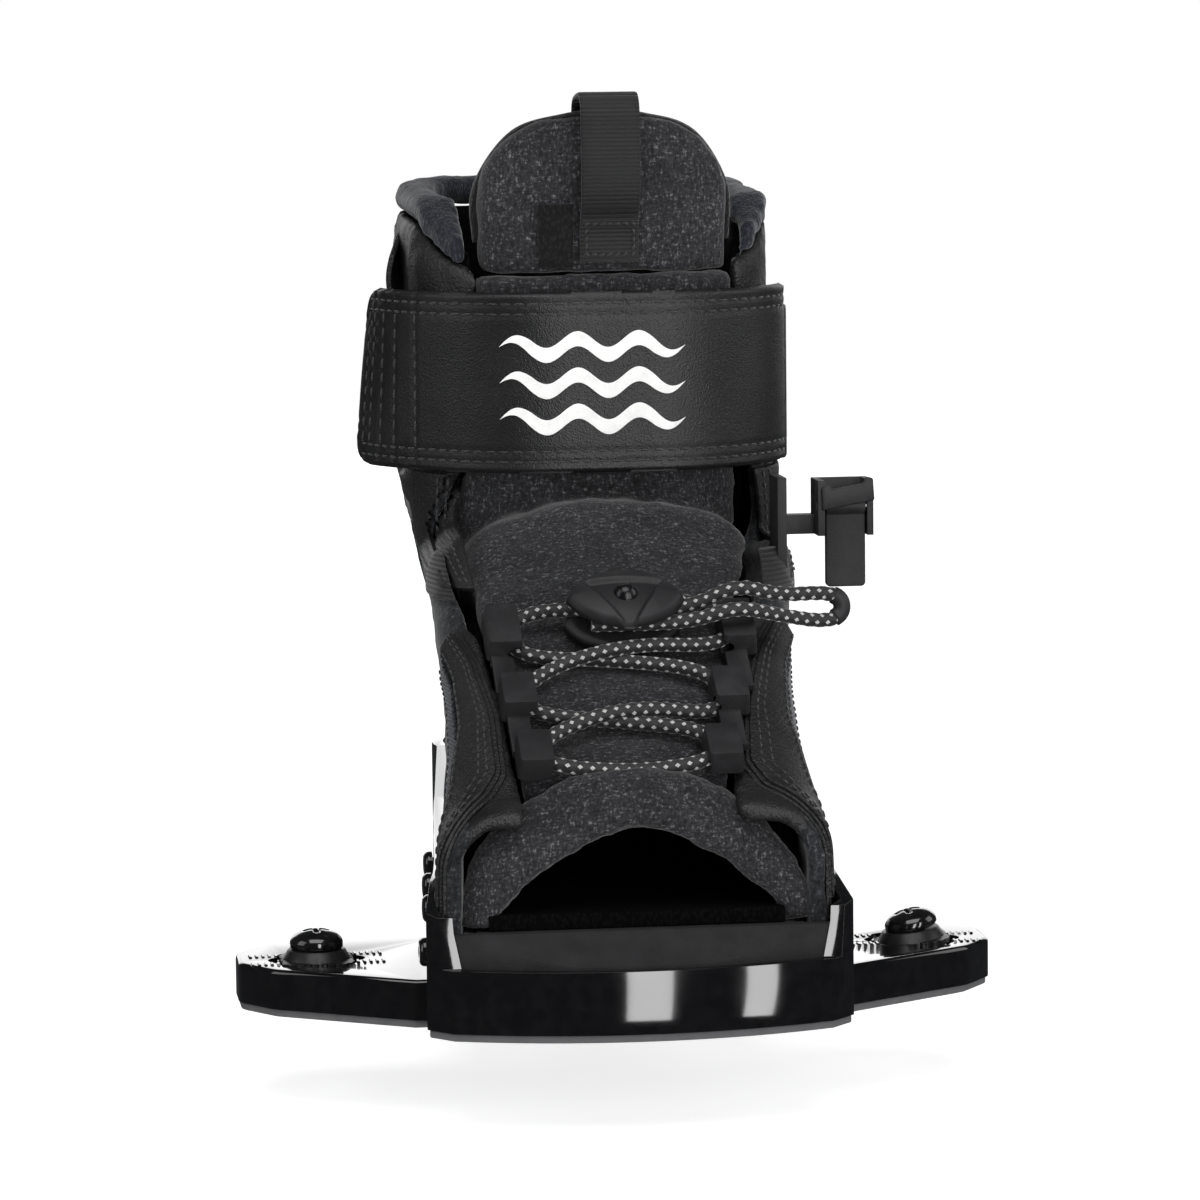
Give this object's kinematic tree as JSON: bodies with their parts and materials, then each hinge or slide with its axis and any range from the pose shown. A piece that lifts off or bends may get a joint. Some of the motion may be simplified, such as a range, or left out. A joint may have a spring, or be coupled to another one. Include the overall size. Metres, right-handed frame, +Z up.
{
  "type": "wakeboard binding",
  "caption": "Open-toe laced boot binding with a wide shin strap, held in a moulded chassis whose two wings bolt to a wakeboard.",
  "frame": {"origin": "on the underside of the base, midway between the two mounting screws", "axes": "+Z up from the board, +Y from the toes to the heel, +X across the board to the boot's clip side"},
  "size_m": [0.192, 0.2591, 0.2273],
  "materials": {
    "gasket": "matte",
    "chassis": "high gloss",
    "foam": "matte foam",
    "bars": "satin",
    "screws": "gloss black",
    "washers": "satin black",
    "textile": "heather woven",
    "leather": "pebbled",
    "knit": "knit",
    "neoprene": "heather",
    "lining": "mesh",
    "webbing": "ribbed",
    "strap_hide": "satin",
    "hook_loop": "hook and loop",
    "lace": "braided, pale flecks",
    "moulded": "matte",
    "button": "gloss",
    "steel": "brushed"
  },
  "bodies": {
    "binding": {"base_gasket": "gasket", "chassis": "chassis", "footbed": "foam", "insole": "lining", "clamp_bar_left": "bars", "clamp_bar_right": "bars", "rail_screws_left": "screws", "rail_screws_right": "screws", "quarter_left": "textile", "quarter_right": "textile", "collar_left": "knit", "collar_right": "knit", "overlay_left": "leather", "overlay_right": "leather", "gusset_left": "webbing", "gusset_right": "webbing", "cuff_flap_left": "leather", "cuff_flap_right": "leather", "lace_guide_left": "moulded", "lace_guide_right": "moulded", "heel_panel": "leather", "liner": "lining", "toe_roll": "neoprene", "tongue_lower": "neoprene", "loop_patch": "hook_loop", "strap_anchor": "leather", "laces": "lace", "lace_tail": "lace", "lock_lower_shell": "moulded", "lock_upper_shell": "moulded", "lock_spring": "steel", "clip_bracket": "moulded", "clip_pin": "steel", "clip_rivets": "steel"},
    "strap": {"strap": "strap_hide", "hook_patch": "hook_loop"},
    "tongue_top": {"tongue_upper": "neoprene", "pull_loop": "webbing", "tongue_label": "leather"},
    "button": {"lock_button": "button"},
    "gate": {"clip_gate": "moulded"},
    "mount_left": {"washer_left": "washers", "screw_left": "screws"},
    "mount_right": {"washer_right": "washers", "screw_right": "screws"}
  },
  "joints": [
    {"name": "strap_open", "type": "hinge", "parent": "binding", "child": "strap", "pos_m": [0.0599, 0.0922, 0.1516], "axis": [0, 0, 1], "range_deg": [0, 80]},
    {"name": "tongue_flex", "type": "hinge", "parent": "binding", "child": "tongue_top", "pos_m": [0.009, 0.0685, 0.18], "axis": [1, 0, 0], "range_deg": [0, 25], "stiffness_Nm_per_rad": 0.5},
    {"name": "lock_press", "type": "slide", "parent": "binding", "child": "button", "axis": [0, 0.5496, -0.8354], "range_m": [0, 0.002], "stiffness_N_per_m": 500},
    {"name": "clip_gate_swing", "type": "hinge", "parent": "binding", "child": "gate", "pos_m": [0.0668, 0.041, 0.1196], "axis": [-1, 0, 0], "range_deg": [0, 35]},
    {"name": "washer_left_lift", "type": "slide", "parent": "binding", "child": "mount_left", "axis": [0, 0, 1], "range_m": [0, 0.006]},
    {"name": "washer_right_lift", "type": "slide", "parent": "binding", "child": "mount_right", "axis": [0, 0, 1], "range_m": [0, 0.006]}
  ]
}
